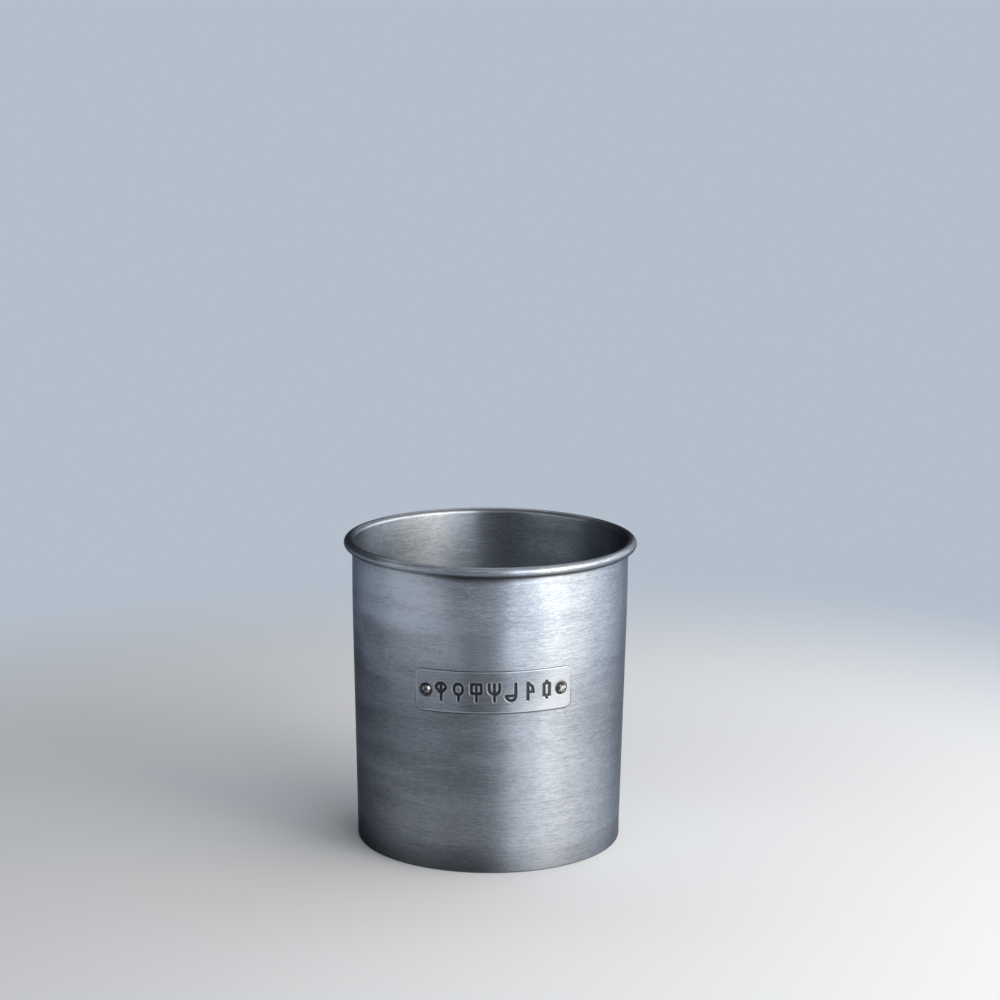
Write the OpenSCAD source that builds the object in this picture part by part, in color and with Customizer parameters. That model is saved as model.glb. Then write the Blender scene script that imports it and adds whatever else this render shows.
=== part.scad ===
// Round steel canister for kitchen tools: a slightly tapered wall with a wired rim bead,
// a pressed base held in the foot hem, and a curved plate riveted to the front.
// The origin is the middle of the foot, on the table. +Z is up and the plate faces -Y.

/* [Wall] */
// Height from the table to the top of the rim bead
height = 150; // [110:1:200]
// Outer diameter at the foot
foot_d = 129.7; // [105:0.1:160]
// Outer diameter of the wall under the rim bead
mouth_d = 134.7; // [110:0.1:170]
// Height of the upright stretch at the top, above the taper
neck_h = 30; // [15:1:45]
// Thickness of the steel sheet
sheet = 0.7; // [0.5:0.05:1]

/* [Rim bead] */
// Thickness of the rolled bead, across its round section
bead_d = 4.8; // [4.4:0.1:7]
// Slot between the curled edge and the wall
curl_gap = 0.6; // [0.3:0.1:1]
// Clearance round the wire in the bead
wire_clear = 0.3; // [0.1:0.05:0.4]

/* [Foot and base] */
// Height of the straight band at the foot, under the taper
band_h = 6; // [5:0.5:14]
// Height of the hem's inner leg above the table
hem_leg_h = 3; // [2:0.1:3.2]
// Depth of the flat that the hem stands on
foot_flat = 0.12; // [0.05:0.01:0.25]
// Height of the base's upper face above the table
base_lift = 4.5; // [4.2:0.1:12]
// Outer radius of the bend between the base's panel and its flange
base_bend = 1.2; // [1:0.1:1.6]
// Clearance between sheets that are folded together
fit_clear = 0.05; // [0.03:0.01:0.1]

/* [Plate] */
// Width of the plate, straight across its ends
plate_w = 73; // [50:0.5:90]
// Height of the plate
plate_h = 20; // [14:0.5:30]
// Thickness of the plate
plate_t = 0.7; // [0.5:0.05:1.2]
// Corner radius of the plate
plate_corner = 3; // [1:0.25:6]
// Height of the plate's middle above the table
plate_z = 89.6; // [40:0.1:110]
// Turn of the plate in its own plane, in degrees
plate_tilt = 0.8; // [-3:0.1:3]

/* [Stamped marks] */
// Height of each mark
mark_h = 9.6; // [7:0.2:12]
// Distance from one mark to the next, along the plate
mark_pitch = 8.4; // [7:0.1:9]
// Width of a stamped groove
groove_w = 1.5; // [0.7:0.05:1.6]
// Depth of a stamped groove
groove_depth = 0.3; // [0.1:0.05:0.4]

/* [Rivets] */
// Distance from the plate's end to the middle of a rivet
rivet_inset = 4.6; // [4:0.1:7]
// Diameter of the round head
head_d = 5.6; // [4.6:0.1:7]
// Height of the round head
head_h = 1.9; // [1:0.1:2.4]
// Diameter of the shank
shank_d = 3; // [2:0.1:3.6]
// Diameter of the clinched tail, inside the wall
tail_d = 4.6; // [4:0.1:6]
// Thickness of the clinched tail
tail_h = 1.1; // [0.6:0.1:2]
// Play round the shank in its holes
hole_play = 0.1; // [0.05:0.05:0.3]

/* [Hidden] */
$fn = 96;

// How far cuts run past the faces that they open
overrun = 1;

// Taper of the wall between its two upright stretches, as radius gained for each unit of height
foot_r = foot_d / 2;
neck_r = mouth_d / 2;
taper_z = height - neck_h;
wall_lean = (neck_r - foot_r) / (taper_z - band_h);

// The bead's round section, the hollow in it and the wire that fills the hollow. The sheet's
// inner face runs straight up into the bead, and the sheet curls outwards from there.
bead_r = bead_d / 2;
bead_z = height - bead_r;
bead_mid_r = neck_r - sheet + bead_r;
curl_r = bead_r - sheet;
wire_r = curl_r - wire_clear;

// The hem folds round one sheet of the base's flange, so it is three sheets thick
hem_r = 1.5 * sheet + fit_clear;
hem_z = hem_r - foot_flat;
hem_mid_r = foot_r - hem_r;

// Outer radius and lower edge of the base's flange, inside the hem
flange_r = foot_r - sheet - fit_clear;
flange_z = hem_z - (hem_r - sheet) + fit_clear;

// Inner and outer faces of the plate, measured out from the wall
plate_in = fit_clear;
plate_out = plate_in + plate_t;

// Rivets: how far round from the front they sit, their hole, the ball that the head is cut
// from, and the room that a flat tail needs against the round wall
rivet_az = asin((plate_w / 2 - rivet_inset) / (wall_r(plate_z) + plate_out));
hole_d = shank_d + 2 * hole_play;
head_ball_r = (pow(head_d / 2, 2) + pow(head_h, 2)) / (2 * head_h);
tail_gap = fit_clear + pow(tail_d, 2) / (8 * (wall_r(plate_z) - sheet));

// Number of different marks in the row, and the height that their outlines are drawn in:
// the middles of their grooves lie inside it
mark_count = 7;
stroke_h = mark_h - groove_w;

// Outer radius of the wall at height z, and how far it leans out there, in degrees
function wall_r(z) = foot_r + wall_lean * (min(max(z, band_h), taper_z) - band_h);
function wall_draft(z) = z > band_h && z < taper_z ? atan(wall_lean) : 0;

// Moves its children onto the wall, az degrees round from the front, with +Z pointing out
module on_wall(az, z) {
    rotate([0, 0, az])
        translate([0, -wall_r(z), z])
            rotate([90 + wall_draft(z), 0, 0])
                children();
}

// Solid core that follows the wall from z0 to z1, grown outwards by grow
module wall_core(grow, z0, z1) {
    bends = [for (z = [band_h, taper_z]) if (z > z0 && z < z1) z];
    rotate_extrude()
        polygon(concat(
            [[0, z0]],
            [for (z = concat(z0, bends, z1)) [wall_r(z) + grow, z]],
            [[0, z1]]
        ));
}

// Flat ring between two radii
module annulus(outer, inner) {
    difference() {
        circle(r = outer);
        circle(r = inner);
    }
}

// Rectangle with round corners, centred
module rounded_rect(w, h, r) {
    square([w - 2 * r, h], center = true);
    square([w, h - 2 * r], center = true);
    for (sx = [-1, 1], sy = [-1, 1])
        translate([sx * (w / 2 - r), sy * (h / 2 - r)])
            circle(r = r);
}

// Section of the sheet from the foot band up into the bead
module wall_section() {
    difference() {
        polygon([
            [foot_r, hem_z],
            [foot_r, band_h],
            [neck_r, taper_z],
            [neck_r, bead_z],
            [neck_r - sheet, bead_z],
            [neck_r - sheet, taper_z],
            [foot_r - sheet, band_h],
            [foot_r - sheet, hem_z]
        ]);
        translate([bead_mid_r, bead_z])
            circle(r = curl_r);
    }
}

// Section of the curl, open where its edge stops short of the wall
module bead_section() {
    difference() {
        translate([bead_mid_r, bead_z])
            annulus(bead_r, curl_r);
        translate([neck_r, bead_z - bead_r - overrun])
            square([curl_gap, bead_r + overrun]);
    }
}

// Section of the hem that turns in under the base's flange, cut flat where it stands
module hem_section() {
    difference() {
        translate([hem_mid_r, hem_z])
            annulus(hem_r, hem_r - sheet);
        translate([hem_mid_r - hem_r - overrun, hem_z])
            square([2 * (hem_r + overrun), hem_r + overrun]);
        translate([hem_mid_r - hem_r - overrun, -hem_r - overrun])
            square([2 * (hem_r + overrun), hem_r + overrun]);
    }
    translate([hem_mid_r - hem_r, hem_z])
        square([sheet, hem_leg_h - hem_z]);
}

// Both rivet holes, from inside the wall to outside the plate
module rivet_holes() {
    for (side = [-1, 1])
        on_wall(side * rivet_az, plate_z)
            translate([0, 0, -sheet - overrun])
                cylinder(h = sheet + plate_out + 2 * overrun, d = hole_d);
}

module wall() {
    color("slategray")
        difference() {
            rotate_extrude() {
                wall_section();
                bead_section();
                hem_section();
            }
            rivet_holes();
        }
}

module base() {
    panel_r = flange_r - base_bend;
    bend_z = base_lift - base_bend;
    color("gray")
        rotate_extrude() {
            translate([0, base_lift - sheet])
                square([panel_r, sheet]);
            translate([panel_r, bend_z])
                intersection() {
                    annulus(base_bend, base_bend - sheet);
                    square(base_bend);
                }
            translate([flange_r - sheet, flange_z])
                square([sheet, bend_z - flange_z]);
        }
}

module rim_wire() {
    color("dimgray")
        rotate_extrude()
            translate([bead_mid_r, bead_z])
                circle(r = wire_r);
}

// Groove with round ends between two points, both given as shares of the outlines' height
module bar(start_share, end_share) {
    run = (end_share - start_share) * stroke_h;
    translate(start_share * stroke_h)
        rotate(atan2(run.y, run.x)) {
            circle(d = groove_w);
            translate([0, -groove_w / 2])
                square([norm(run), groove_w]);
            translate([norm(run), 0])
                circle(d = groove_w);
        }
}

// Grooves from each point to the next
module bars(shares) {
    for (i = [1 : len(shares) - 1])
        bar(shares[i - 1], shares[i]);
}

// Half-round groove about a middle, the upper half when side is 1 and the lower when it is -1
module arch(middle_share, radius_share, side) {
    outer = radius_share * stroke_h + groove_w / 2;
    translate(middle_share * stroke_h)
        intersection() {
            annulus(outer, outer - groove_w);
            translate([-outer, min(side, 0) * outer])
                square([2 * outer, outer]);
        }
}

module fork_mark() {
    bar([0, -0.5], [0, 0.5]);
    for (side = [-1, 1])
        bar([0.3 * side, 0.2], [0.3 * side, 0.5]);
    arch([0, 0.2], 0.3, -1);
}

module spoon_mark() {
    bar([0, -0.5], [0, -0.14]);
    for (side = [-1, 1]) {
        bar([0.25 * side, 0.11], [0.25 * side, 0.25]);
        arch([0, 0.18 + 0.07 * side], 0.25, side);
    }
}

module knife_mark() {
    bars([[-0.12, -0.5], [-0.12, 0.5], [0.16, 0.24], [0.2, -0.06], [-0.12, -0.06]]);
}

module ladle_mark() {
    bar([0.2, 0.5], [0.2, -0.22]);
    bar([0.2, -0.22], [-0.36, -0.22]);
    arch([-0.08, -0.22], 0.28, -1);
}

module whisk_mark() {
    bar([0, -0.5], [0, 0.48]);
    for (side = [-1, 1])
        bar([0, -0.12], [0.3 * side, 0.2]);
    arch([0, 0.2], 0.3, 1);
}

module turner_mark() {
    bar([0, -0.5], [0, -0.04]);
    bars([[-0.28, -0.04], [0.28, -0.04], [0.28, 0.5], [-0.28, 0.5], [-0.28, -0.04]]);
    bar([0, 0.15], [0, 0.31]);
}

module rolling_pin_mark() {
    for (side = [-1, 1])
        bar([0, 0.35 * side], [0, 0.5 * side]);
    bars([[-0.17, -0.35], [0.17, -0.35], [0.17, 0.35], [-0.17, 0.35], [-0.17, -0.35]]);
}

// The mark for place i, counted from the left
module mark(i) {
    if (i == 0) whisk_mark();
    if (i == 1) spoon_mark();
    if (i == 2) turner_mark();
    if (i == 3) fork_mark();
    if (i == 4) ladle_mark();
    if (i == 5) knife_mark();
    if (i == 6) rolling_pin_mark();
}

// Prisms of all marks, standing on the wall along the plate
module mark_prisms() {
    for (i = [0 : mark_count - 1]) {
        along = (i - (mark_count - 1) / 2) * mark_pitch;
        mark_z = plate_z + along * sin(plate_tilt);
        on_wall(along / wall_r(mark_z) * 180 / PI, mark_z)
            rotate(plate_tilt)
                linear_extrude(plate_out + overrun)
                    mark(i);
    }
}

// Plate before stamping: its outline, pushed through a thin shell that follows the wall
module plate_blank() {
    z0 = plate_z - plate_h;
    z1 = plate_z + plate_h;
    intersection() {
        difference() {
            wall_core(plate_out, z0, z1);
            wall_core(plate_in, z0 - overrun, z1 + overrun);
        }
        on_wall(0, plate_z)
            rotate(plate_tilt)
                translate([0, 0, -plate_w / 2])
                    linear_extrude(plate_w)
                        rounded_rect(plate_w, plate_h, plate_corner);
    }
}

module nameplate() {
    color("lightslategray")
        difference() {
            plate_blank();
            rivet_holes();
            difference() {
                mark_prisms();
                wall_core(plate_out - groove_depth, plate_z - plate_h, plate_z + plate_h);
            }
        }
}

// One rivet on its own axis: round head outside, shank, clinched tail inside
module rivet() {
    seat = plate_out + fit_clear;
    tail_z = -sheet - tail_gap;
    rotate_extrude() {
        intersection() {
            translate([0, seat + head_h - head_ball_r])
                circle(r = head_ball_r);
            translate([0, seat])
                square([head_d, head_h]);
        }
        translate([0, tail_z - tail_h])
            square([shank_d / 2, tail_h - tail_z + seat + head_h / 2]);
        translate([0, tail_z - tail_h])
            square([tail_d / 2, tail_h]);
    }
}

module rivet_left() {
    color("silver")
        on_wall(-rivet_az, plate_z)
            rivet();
}

module rivet_right() {
    color("silver")
        on_wall(rivet_az, plate_z)
            rivet();
}

wall();
base();
rim_wire();
nameplate();
rivet_left();
rivet_right();
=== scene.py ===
# %% [markdown]
# # A brushed steel holder for kitchen tools
# The real thing is a thin steel canister: a wall rolled from one sheet, a bead curled round the rim,
# a base held in the foot, and a stamped plate fixed to the front with two rivets. This lesson dresses
# a measured model of it. The measured model says where each piece is, and every step below makes one
# piece or one finish to go there. Lengths in code are millimetres times MM, because Blender works in
# metres.

# %% Load the measured model
import math
from collections import namedtuple

import bpy
from mathutils import Matrix, Vector


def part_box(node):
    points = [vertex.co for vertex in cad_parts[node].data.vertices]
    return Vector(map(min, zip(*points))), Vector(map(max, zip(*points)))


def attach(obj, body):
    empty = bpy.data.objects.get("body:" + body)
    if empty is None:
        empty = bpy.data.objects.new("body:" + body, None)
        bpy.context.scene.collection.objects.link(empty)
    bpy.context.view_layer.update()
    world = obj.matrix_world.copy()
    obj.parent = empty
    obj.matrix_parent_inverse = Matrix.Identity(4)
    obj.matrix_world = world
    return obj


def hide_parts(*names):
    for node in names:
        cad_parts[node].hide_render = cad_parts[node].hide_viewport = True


MM = 0.001

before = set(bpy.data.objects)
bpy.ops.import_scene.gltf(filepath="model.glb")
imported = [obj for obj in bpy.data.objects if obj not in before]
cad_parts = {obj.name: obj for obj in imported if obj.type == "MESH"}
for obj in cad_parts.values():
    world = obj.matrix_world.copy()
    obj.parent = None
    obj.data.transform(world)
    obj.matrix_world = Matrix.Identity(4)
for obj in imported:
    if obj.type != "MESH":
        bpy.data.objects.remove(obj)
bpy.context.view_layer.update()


print("nodes:", sorted(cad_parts))

# %% [markdown]
# ## Writing node trees in words
# Geometry and materials are both made of nodes here. Adding a node, setting its options and joining
# its sockets takes several lines each time, so one small class does it. A value that is a socket is
# joined, and anything else is typed into the socket. Nodes could also be joined by hand in the
# editor, but a script can be read, repeated and changed by one number. Much of what follows is a
# value that goes smoothly from low to high between two places, so that has a name too: a Fade.


# %% A short way to write node trees
Fade = namedtuple("Fade", "start end low high", defaults=(0.0, 1.0))


class Nodes:
    """Adds nodes to one tree. Inputs go by name or by place in the node's list."""

    def __init__(self, tree):
        self.tree = tree

    def add(self, kind, inputs=None, **options):
        node = self.tree.nodes.new(kind)
        for option, value in options.items():
            setattr(node, option, value)
        for key, value in (inputs or {}).items():
            if isinstance(value, bpy.types.NodeSocket):
                self.tree.links.new(value, node.inputs[key])
            else:
                node.inputs[key].default_value = value
        return node.outputs

    def math(self, operation, *values):
        return self.add("ShaderNodeMath", dict(enumerate(values)), operation=operation)[0]

    def times(self, *values):
        product = values[0]
        for value in values[1:]:
            product = self.math("MULTIPLY", product, value)
        return product

    def plus(self, *values):
        total = values[0]
        for value in values[1:]:
            total = self.math("ADD", total, value)
        return total

    def minus(self, a, b):
        return self.math("SUBTRACT", a, b)

    def larger(self, *values):
        largest = values[0]
        for value in values[1:]:
            largest = self.math("MAXIMUM", largest, value)
        return largest

    def size(self, *values):
        """Length of a vector from its parts."""
        return self.math("SQRT", self.plus(*[self.times(v, v) for v in values]))

    def whole(self, operation, a, b):
        return self.add("FunctionNodeIntegerMath", {0: a, 1: b}, operation=operation)[0]

    def ramp(self, value, start, end, low=0.0, high=1.0, shape="SMOOTHSTEP"):
        """Goes from low to high while value goes from start to end."""
        inputs = {0: value, 1: start, 2: end, 3: low, 4: high}
        return self.add("ShaderNodeMapRange", inputs, interpolation_type=shape)[0]

    def fade(self, length, fade):
        """The ramp that a Fade describes. Its start and end are in millimetres."""
        return self.ramp(length, fade.start * MM, fade.end * MM, fade.low, fade.high)

    def vector(self, x, y, z):
        return self.add("ShaderNodeCombineXYZ", {0: x, 1: y, 2: z})[0]

    def split(self, vector):
        return self.add("ShaderNodeSeparateXYZ", {0: vector})

    def noise(self, vector, scale, detail):
        inputs = {"Vector": vector, "Scale": scale, "Detail": detail}
        return self.add("ShaderNodeTexNoise", inputs)[0]

    def blend(self, share, a, b):
        """A colour share of the way from colour a to colour b, on the node's colour sockets."""
        inputs = {0: share, 6: a, 7: b}
        return self.add("ShaderNodeMix", inputs, data_type="RGBA")[2]


# %% [markdown]
# A geometry tree works on a piece through a modifier. Here the result is made a plain mesh at once,
# because the pieces are finished goods: nothing in them has to change later.


# %% Make and run geometry trees
def geometry_tree(name, inputs):
    """A geometry tree with a Geometry in and out, and the named inputs."""
    tree = bpy.data.node_groups.new(name, "GeometryNodeTree")
    tree.interface.new_socket("Geometry", in_out="OUTPUT", socket_type="NodeSocketGeometry")
    tree.interface.new_socket("Geometry", in_out="INPUT", socket_type="NodeSocketGeometry")
    for label, kind in inputs.items():
        tree.interface.new_socket(label, in_out="INPUT", socket_type="NodeSocket" + kind)
    n = Nodes(tree)
    return n, n.add("NodeGroupInput")


def finish_tree(n, geometry, metal):
    """Ends a geometry tree: real geometry, with its metal on."""
    real = n.add("GeometryNodeRealizeInstances", {0: geometry})[0]
    coated = n.add("GeometryNodeSetMaterial", {"Geometry": real, "Material": metal})[0]
    n.add("NodeGroupOutput", {0: coated})
    print(n.tree.name, "tree:", len(n.tree.nodes), "nodes")
    return n.tree


def run_tree(piece, tree, values):
    """Runs a geometry tree on a piece with the named values and keeps the result as its mesh."""
    modifier = piece.modifiers.new(tree.name, "NODES")
    modifier.node_group = tree
    for item in tree.interface.items_tree:
        if item.in_out == "INPUT" and item.name in values:
            modifier[item.identifier] = values[item.name]
    piece.update_tag()
    result = piece.evaluated_get(bpy.context.evaluated_depsgraph_get())
    mesh = bpy.data.meshes.new_from_object(result)
    piece.modifiers.clear()
    piece.data = mesh
    return piece


def drawn_piece(name, points, edges):
    """A piece that is only points and edges so far, ready for a tree to build on."""
    mesh = bpy.data.meshes.new(name)
    mesh.from_pydata(points, edges, [])
    piece = bpy.data.objects.new(name, mesh)
    bpy.context.scene.collection.objects.link(piece)
    return piece


def fit_piece(piece, nodes, crease=40):
    """Shades a finished piece, and puts it in the place of the measured nodes."""
    piece.data.shade_smooth()
    piece.data.set_sharp_from_angle(angle=math.radians(crease))
    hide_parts(*nodes)
    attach(piece, "root")
    print(piece.name, "has", len(piece.data.polygons), "faces")


# %% [markdown]
# ## Camera
# The photograph was taken from about 1.3 m away with a lens of about 96 mm, looking down 11 degrees,
# with the plate turned a little to the right. A wider lens from nearer by would show a deeper ellipse
# at the rim, and a longer one from further off a flatter one, so the rim's ellipse and the lean of
# the wall's two edges settle both numbers.

# %% Set up the camera
AIM_HEIGHT = 75 * MM
CAMERA_DISTANCE = 1319.4 * MM
CAMERA_RISE = math.radians(15.441)
CAMERA_ROUND = math.radians(-1.9)
LOOK_DOWN = math.radians(11.478)
LOOK_ASIDE = math.radians(0.207)
CAMERA_ROLL = math.radians(0.421)
SENSOR = 36.0
LENS_PER_SENSOR = 2.667

camera_data = bpy.data.cameras.new("camera")
camera_data.sensor_width = SENSOR
camera_data.lens = LENS_PER_SENSOR * SENSOR
camera_data.clip_start = 10 * MM
camera = bpy.data.objects.new("camera", camera_data)
bpy.context.scene.collection.objects.link(camera)
camera_place = Vector((0, -math.cos(CAMERA_RISE), math.sin(CAMERA_RISE))) * CAMERA_DISTANCE
camera_place.z += AIM_HEIGHT
camera.matrix_world = (
    Matrix.Rotation(CAMERA_ROUND, 4, "Z")
    @ Matrix.Translation(camera_place)
    @ Matrix.Rotation(-LOOK_ASIDE, 4, "Z")
    @ Matrix.Rotation(math.pi / 2 - LOOK_DOWN, 4, "X")
    @ Matrix.Rotation(CAMERA_ROLL, 4, "Z")
)
bpy.context.scene.camera = camera
print("camera at", [round(c, 3) for c in camera.matrix_world.translation])

# %% [markdown]
# ## Sizes of the holder
# The outside sizes come from the measured model's own boxes. The rest are the sizes that the sheet,
# the bead and the folds of this kind of canister have, and they repeat the measured model's, so that
# each piece made here fits the place of the one that it stands for.

# %% Read and name the sizes, in millimetres
SHEET = 0.7
FIT = 0.05
BEAD_R = 2.4
CURL_GAP = 0.6
FOOT_R = 64.85
BAND_H = 6.0
NECK_H = 30.0
SOFT_BEND = 12.0
HEM_LEG = 3.0
FOOT_FLAT = 0.12
HEM_R = 1.5 * SHEET + FIT

wall_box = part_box("wall")
HEIGHT = wall_box[1].z / MM
BEAD_Z = HEIGHT - BEAD_R
BEAD_MID = wall_box[1].x / MM - BEAD_R
NECK_R = BEAD_MID - BEAD_R + SHEET
TAPER_Z = HEIGHT - NECK_H
LEAN = (NECK_R - FOOT_R) / (TAPER_Z - BAND_H)


def wall_r(z):
    """Outer radius of the wall at height z. A long soft bend joins the taper to the upright neck."""
    bent = min(max(z - TAPER_Z + SOFT_BEND, 0), 2 * SOFT_BEND)
    risen = min(max(z, BAND_H), TAPER_Z + SOFT_BEND) - bent ** 2 / (4 * SOFT_BEND)
    return FOOT_R + LEAN * (risen - BAND_H)


PLATE_W = 73.0
PLATE_H = 20.0
PLATE_T = 0.7
PLATE_CORNER = 3.0
PLATE_Z = 89.6
PLATE_TILT = math.radians(0.8)
RIVET_INSET = 4.6
HOLE_R = 1.6

PLATE_R = wall_r(PLATE_Z)
PLATE_FACE_R = PLATE_R + FIT + PLATE_T
PLATE_TURN = math.asin(PLATE_W / 2 / PLATE_FACE_R)
RIVET_TURN = math.asin((PLATE_W / 2 - RIVET_INSET) / PLATE_FACE_R)
print("the wall leans out", round(LEAN * 100, 2), "mm in 100")
print("the plate reaches", round(math.degrees(PLATE_TURN), 1), "degrees round each way")

# %% [markdown]
# ## Turning a section into a round piece
# The wall, the base and the rivets are all round, so each is one flat section spun about an axis. A
# Screw modifier could spin it too, but this tree also writes a finish map while it spins: how far
# round each point is, and how far along the section it is in metres. Brushed metal needs the second
# number, because its lines stay the same distance apart however the sheet is bent.

# %% The lathe tree
FINISH_MAP = "finish_map"
TINY = 0.001
WELD = 0.0005


def lathe_tree():
    """Spins a closed section, drawn as points (radius, 0, height), about Z."""
    n, given = geometry_tree("lathe", {"Segments": "Int", "Metal": "Material"})
    section = given["Geometry"]
    count = n.add("GeometryNodeAttributeDomainSize", {0: section})["Point Count"]
    rows = n.whole("ADD", count, 1)
    columns = n.whole("ADD", given["Segments"], 1)
    grid = n.add("GeometryNodeMeshGrid", {"Vertices X": columns, "Vertices Y": rows})[0]
    index = n.add("GeometryNodeInputIndex")[0]
    row = n.whole("MODULO", n.whole("MODULO", index, rows), count)
    column = n.whole("DIVIDE_FLOOR", index, rows)
    position = n.add("GeometryNodeInputPosition")[0]
    drawn = n.add("GeometryNodeSampleIndex", {0: section, 1: position, 2: row},
                  data_type="FLOAT_VECTOR")[0]
    radius, _, height = n.split(drawn)
    along = n.add("GeometryNodeInputNamedAttribute", {"Name": "along"})[0]
    along = n.add("GeometryNodeSampleIndex", {0: section, 1: along, 2: row})[0]
    share = n.math("DIVIDE", column, given["Segments"])
    mapped = store_map(n, grid, n.vector(share, along, 0.0))
    turn = n.times(share, 2 * math.pi)
    spun = n.vector(n.times(radius, n.math("SINE", turn)),
                    n.times(radius, n.math("COSINE", turn), -1.0), height)
    shaped = n.add("GeometryNodeSetPosition", {"Geometry": mapped, "Position": spun})[0]
    x, y, _ = n.split(position)
    on_axis = n.math("LESS_THAN", n.size(x, y), TINY * MM)
    open_axis = n.add("GeometryNodeDeleteGeometry", {"Geometry": shaped, "Selection": on_axis},
                      domain="FACE")[0]
    inputs = {"Geometry": open_axis, "Distance": WELD * MM}
    closed = n.add("GeometryNodeMergeByDistance", inputs)[0]
    return finish_tree(n, closed, given["Metal"])


def store_map(n, geometry, value):
    """Writes a finish map from a value that each point of the geometry has."""
    at_points = n.add("GeometryNodeFieldOnDomain", {0: value}, data_type="FLOAT_VECTOR",
                      domain="POINT")
    inputs = {"Geometry": geometry, "Name": FINISH_MAP, "Value": at_points[0]}
    return n.add("GeometryNodeStoreNamedAttribute", inputs, data_type="FLOAT2", domain="CORNER")[0]


LATHE = lathe_tree()


# %% [markdown]
# A section is drawn in millimetres, counter-clockwise from its lowest point, so that the faces of
# the spun piece point outwards. Arcs and straight runs are all that sheet metal needs.


# %% Draw and spin sections
def spin(name, section, segments, metal):
    points = [Vector((r, 0, z)) * MM for r, z in section]
    count = len(points)
    piece = drawn_piece(name, points, [(i, (i + 1) % count) for i in range(count)])
    along = piece.data.attributes.new("along", "FLOAT", "POINT")
    run = 0.0
    for i, point in enumerate(points):
        along.data[i].value = run
        run += (points[(i + 1) % count] - point).length
    return run_tree(piece, LATHE, {"Segments": segments, "Metal": metal})


def arc(middle, radius, start, end, steps):
    """Points on an arc of a section, from start to end in degrees, both ends included."""
    turns = [math.radians(start + (end - start) * i / steps) for i in range(steps + 1)]
    return [(middle[0] + radius * math.cos(t), middle[1] + radius * math.sin(t)) for t in turns]


def straight(a, b, steps):
    """Points between a and b, without either end."""
    shares = [i / steps for i in range(1, steps)]
    return [(a[0] + (b[0] - a[0]) * s, a[1] + (b[1] - a[1]) * s) for s in shares]


def wall_face(grow, low, high, steps):
    """Points up the wall's face from low to high, both included, grown outwards by grow."""
    heights = [low + (high - low) * i / steps for i in range(steps + 1)]
    return [(wall_r(z) + grow, z) for z in heights]


# %% [markdown]
# ## Brushed, darkened steel
# The sheet was brushed along its length before it was rolled, then darkened and rubbed back. Three
# things make that look. The brush lines spread a highlight across themselves, so the shader is
# anisotropic and each highlight stands up the wall as a soft band. The dark finish stays unevenly,
# in smears drawn out along the brushing. And it stays in every hollow, while the edges that hands
# and shelves touch are rubbed bright. The same dark and bright colours also paint shade and sheen
# onto the steel: painted shade where shadows and dark reflections fall, and painted sheen where
# reflections of the lamps fall. A picture of scratches would be simpler, but it would stretch
# at the bead and show where its ends meet.

# %% Where a point of the steel is, and the streaks of the brush
Spot = namedtuple("Spot", "place x y z radius along")
Streaks = namedtuple("Streaks", "length thickness detail start")
HAIRS = Streaks(4, 0.5, 1.5, 3.0)
STROKES = Streaks(22, 0.8, 2.0, 11.0)
SMEARS = Streaks(50, 10, 1.0, 7.0)
PATCH_STREAKS = Streaks(40, 6, 1.0, 5.0)


def spot_on(n, map_name):
    """A point's place in the piece's own space, its distance from the axis, and along the sheet."""
    place = n.add("ShaderNodeTexCoord")["Object"]
    x, y, z = n.split(place)
    radius = n.size(x, y)
    along = n.plus(z, radius)
    if map_name:
        along = n.split(n.add("ShaderNodeUVMap", uv_map=map_name)[0])[1]
    return Spot(place, x, y, z, radius, along)


def brushed_noise(n, spot, streaks):
    """Noise drawn out along the brushing. Each kind starts elsewhere, so that no two look alike."""
    length, thickness = streaks.length * MM, streaks.thickness * MM
    vector = n.vector(n.times(spot.x, 1 / length), n.times(spot.y, 1 / length),
                      n.plus(n.times(spot.along, 1 / thickness), streaks.start))
    return n.noise(vector, 1.0, streaks.detail)


def untouched(n, spot):
    return 0.0


print("streaks in mm:", [(kind.length, kind.thickness) for kind in (HAIRS, STROKES, SMEARS, PATCH_STREAKS)])


# %% [markdown]
# The colour is a mixture of five noises, from single hairs to clouds about 50 mm wide. Seen at a low
# angle, worn steel looks darker than new steel does, which is what the edge tint is for.

# %% The steel finish
# The dark colour below serves both the real dark finish and painted shade, and the rubbed colour both
# rubbed steel and painted sheen.
DARK_FINISH_AND_PAINTED_SHADE = (0.045, 0.046, 0.05, 1)
RUBBED_STEEL_AND_PAINTED_SHEEN = (0.64, 0.68, 0.73, 1)
EDGE_TINT = (0.3, 0.3, 0.32, 1)
TONE_SHARES = {"hairs": 0.25, "strokes": 0.15, "grain": 0.2, "smears": 0.18, "clouds": 0.22}
TONE_ENDS = (0.4, 0.6)
SMEAR_ENDS = (0.3, 0.7)
GRAINS_PER_M = 1500.0
CLOUDS_PER_M = 20.0
DENTS_PER_M = 26.0
PITS_PER_M = 110.0
PIT_RARITY = (0.9, 0.92)
PIT_EDGE = (0.02, 0.045)
PIT_DARKNESS = 0.8
PIT_DEPTH = 0.05
SMEAR_ROUGHNESS = 0.04
DARK_ROUGHNESS = 0.12
WORN_ROUGHNESS = -0.1
QUARTER_TURN = 0.25


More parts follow.
